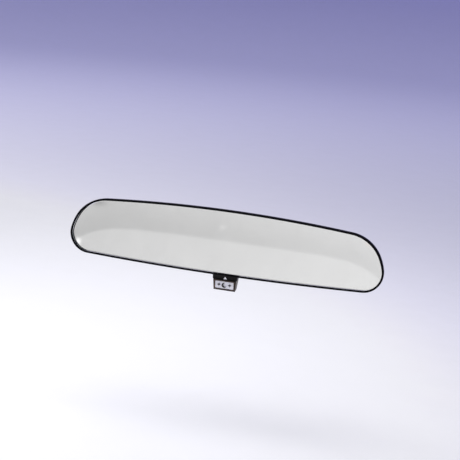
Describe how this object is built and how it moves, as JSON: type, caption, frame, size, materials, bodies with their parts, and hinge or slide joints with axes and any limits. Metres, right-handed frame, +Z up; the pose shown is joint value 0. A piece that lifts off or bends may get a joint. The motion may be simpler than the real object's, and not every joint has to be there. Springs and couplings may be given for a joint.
{
  "type": "interior rearview mirror",
  "caption": "Day/night interior rearview mirror: slim framed prism glass in a black shell, flip tab below, ball-jointed to a windscreen mount.",
  "frame": {"origin": "middle of the face of the windscreen button that is bonded to the glass", "axes": "+Z up, +X to the right of somebody looking into the mirror, the mirror glass faces -Y and the windscreen lies on the +Y side"},
  "size_m": [0.254, 0.0695, 0.0673],
  "materials": {
    "rim_vinyl": "satin black vinyl",
    "mirror_glass": "clear polished glass with a ground edge",
    "silvering": "silvered",
    "housing_plastic": "fine-grained black moulding",
    "plated_steel": "zinc plated sheet steel",
    "screw_steel": "bright steel",
    "foam": "closed-cell foam",
    "die_cast": "raw die casting",
    "ring_steel": "pressed steel",
    "ball_steel": "polished steel",
    "nylon": "natural nylon",
    "arm_paint": "satin black paint",
    "lever_plastic": "satin black moulding",
    "label_foil": "pale silver-white foil",
    "symbol_ink": "dark printed ink"
  },
  "bodies": {
    "windscreen_mount": {"windscreen_button": "die_cast", "mount_arm": "arm_paint", "set_screw": "screw_steel", "lock_nut": "plated_steel", "ball_stud": "ball_steel"},
    "front_seat": {"seat_front": "nylon"},
    "rear_seat": {"seat_rear": "nylon"},
    "toggle_bracket": {"toggle_plate": "plated_steel", "socket_body": "die_cast", "socket_screw_1": "screw_steel", "socket_screw_2": "screw_steel", "clamp_ring": "ring_steel", "clamp_screw_1": "screw_steel", "clamp_screw_2": "screw_steel", "clamp_screw_3": "screw_steel", "lock_washer_1": "screw_steel", "lock_washer_2": "screw_steel", "lock_washer_3": "screw_steel"},
    "mirror_case": {"bezel_rim": "rim_vinyl", "prism_glass": "mirror_glass", "silver_coating": "silvering", "rear_shell": "housing_plastic", "inner_frame": "plated_steel", "frame_screw_1": "screw_steel", "frame_screw_2": "screw_steel", "frame_screw_3": "screw_steel", "frame_screw_4": "screw_steel", "foam_pad_1": "foam", "foam_pad_2": "foam", "foam_pad_3": "foam", "foam_pad_4": "foam", "tilt_pin": "screw_steel", "tilt_pin_clip_left": "screw_steel", "tilt_pin_clip_right": "screw_steel", "lever_pin": "screw_steel", "lever_pin_clip_left": "screw_steel", "lever_pin_clip_right": "screw_steel"},
    "day_night_lever": {"flip_lever": "lever_plastic", "lever_label": "label_foil", "crescent_symbol": "symbol_ink", "pointer": "label_foil", "crank_pin": "screw_steel"}
  },
  "joints": [
    {"name": "head_yaw", "type": "hinge", "parent": "windscreen_mount", "child": "front_seat", "pos_m": [0, -0.039, 0.003], "axis": [0, 0, 1], "range_deg": [-22, 22]},
    {"name": "head_pitch", "type": "hinge", "parent": "front_seat", "child": "rear_seat", "pos_m": [0, -0.039, 0.003], "axis": [1, 0, 0], "range_deg": [-14, 14]},
    {"name": "head_roll", "type": "hinge", "parent": "rear_seat", "child": "toggle_bracket", "pos_m": [0, -0.039, 0.003], "axis": [0, 1, 0], "range_deg": [-10, 10]},
    {"name": "night_tilt", "type": "hinge", "parent": "toggle_bracket", "child": "mirror_case", "pos_m": [0, -0.0514, 0.018], "axis": [-1, 0, 0], "range_deg": [0, 4.5]},
    {"name": "lever_flip", "type": "hinge", "parent": "mirror_case", "child": "day_night_lever", "pos_m": [0, -0.0515, -0.0145], "axis": [-1, 0, 0], "range_deg": [0, 30]}
  ],
  "couplings": [
    {"joint": "lever_flip", "follows": "night_tilt", "ratio": 6.6666}
  ]
}
